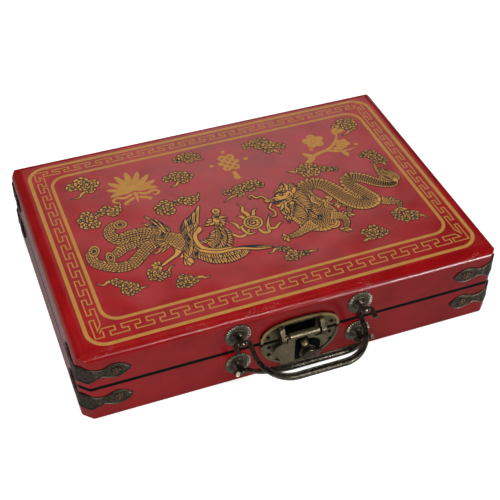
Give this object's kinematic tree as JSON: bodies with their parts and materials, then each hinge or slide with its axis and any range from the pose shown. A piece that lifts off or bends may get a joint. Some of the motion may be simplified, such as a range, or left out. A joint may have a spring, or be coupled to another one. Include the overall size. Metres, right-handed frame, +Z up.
{
  "type": "mahjong case",
  "caption": "Flat hinged wooden case covered in red leatherette, with two bail handles, a turn-lock hasp latch, corner straps and lift-out tile trays.",
  "frame": {"origin": "centre of the base's underside, on the table", "axes": "+X along the length to the right as seen from the front, -Y out of the front with the handles and latch, +Y to the hinges, +Z up"},
  "size_m": [0.3638, 0.3055, 0.0705],
  "materials": {
    "wood": "sawn softwood boards",
    "leatherette": "red printed leatherette on card, satin",
    "edge_band": "black edging tape",
    "lining": "flocked card",
    "tray": "moulded tray",
    "steel": "plain wire",
    "lug_steel": "worn plated steel",
    "bright_brass": "bright brass",
    "aged_brass": "antique bronze plated"
  },
  "bodies": {
    "base": {"base_back_rail": "wood", "base_bottom_panel": "wood", "base_cover": "leatherette", "base_edge_band": "edge_band", "base_front_rail": "wood", "base_hinge_leaf_left": "aged_brass", "base_hinge_leaf_right": "aged_brass", "base_hinge_screws": "aged_brass", "base_left_rail": "wood", "base_liner": "lining", "base_right_rail": "wood", "base_strap_back_left": "aged_brass", "base_strap_back_right": "aged_brass", "base_strap_front_left": "aged_brass", "base_strap_front_right": "aged_brass", "base_strap_nails": "aged_brass", "hinge_pins": "steel", "latch_lower_nails": "aged_brass", "latch_lower_plate": "aged_brass", "latch_recess_disc": "aged_brass", "latch_turn_pivot": "steel", "lower_post_left": "aged_brass", "lower_post_right": "aged_brass", "lower_rosette_left": "aged_brass", "lower_rosette_right": "aged_brass"},
    "lid": {"latch_hinge_pin": "steel", "latch_lug_left": "lug_steel", "latch_lug_right": "lug_steel", "latch_upper_nails": "aged_brass", "latch_upper_plate": "aged_brass", "lid_back_rail": "wood", "lid_cover": "leatherette", "lid_edge_band": "edge_band", "lid_front_rail": "wood", "lid_hinge_leaf_left": "aged_brass", "lid_hinge_leaf_right": "aged_brass", "lid_hinge_screws": "aged_brass", "lid_left_rail": "wood", "lid_liner": "lining", "lid_right_rail": "wood", "lid_strap_back_left": "aged_brass", "lid_strap_back_right": "aged_brass", "lid_strap_front_left": "aged_brass", "lid_strap_front_right": "aged_brass", "lid_strap_nails": "aged_brass", "lid_top_panel": "wood", "upper_post_left": "aged_brass", "upper_post_right": "aged_brass", "upper_rosette_left": "aged_brass", "upper_rosette_right": "aged_brass"},
    "upper_bail": {"upper_bail": "aged_brass"},
    "lower_bail": {"lower_bail": "aged_brass"},
    "flap": {"latch_flap": "aged_brass"},
    "turn_piece": {"latch_turn_knob": "aged_brass", "latch_turn_cam": "aged_brass", "latch_ball_stud": "bright_brass"},
    "tray_1": {"tile_tray_1": "tray"},
    "tray_2": {"tile_tray_2": "tray"},
    "tray_3": {"tile_tray_3": "tray"},
    "tray_4": {"tile_tray_4": "tray"}
  },
  "joints": [
    {"name": "lid_hinge", "type": "hinge", "parent": "base", "child": "lid", "pos_m": [0, 0.1284, 0.035], "axis": [-1, 0, 0], "range_deg": [0, 175]},
    {"name": "upper_bail_swing", "type": "hinge", "parent": "lid", "child": "upper_bail", "pos_m": [0.0006, -0.1355, 0.0524], "axis": [-1, 0, 0], "range_deg": [-6, 120]},
    {"name": "lower_bail_swing", "type": "hinge", "parent": "base", "child": "lower_bail", "pos_m": [0.0006, -0.1355, 0.0198], "axis": [-1, 0, 0], "range_deg": [-65, 45]},
    {"name": "flap_hinge", "type": "hinge", "parent": "lid", "child": "flap", "pos_m": [0.0006, -0.133, 0.0419], "axis": [-1, 0, 0], "range_deg": [0, 75]},
    {"name": "turn_piece_turn", "type": "hinge", "parent": "base", "child": "turn_piece", "pos_m": [0.0061, -0.13, 0.0187], "axis": [0, -1, 0], "range_deg": [0, 90]},
    {"name": "tray_1_lift", "type": "slide", "parent": "base", "child": "tray_1", "axis": [0, 0, 1], "range_m": [0, 0.027]},
    {"name": "tray_2_lift", "type": "slide", "parent": "base", "child": "tray_2", "axis": [0, 0, 1], "range_m": [0, 0.027]},
    {"name": "tray_3_lift", "type": "slide", "parent": "base", "child": "tray_3", "axis": [0, 0, 1], "range_m": [0, 0.027]},
    {"name": "tray_4_lift", "type": "slide", "parent": "base", "child": "tray_4", "axis": [0, 0, 1], "range_m": [0, 0.027]}
  ]
}
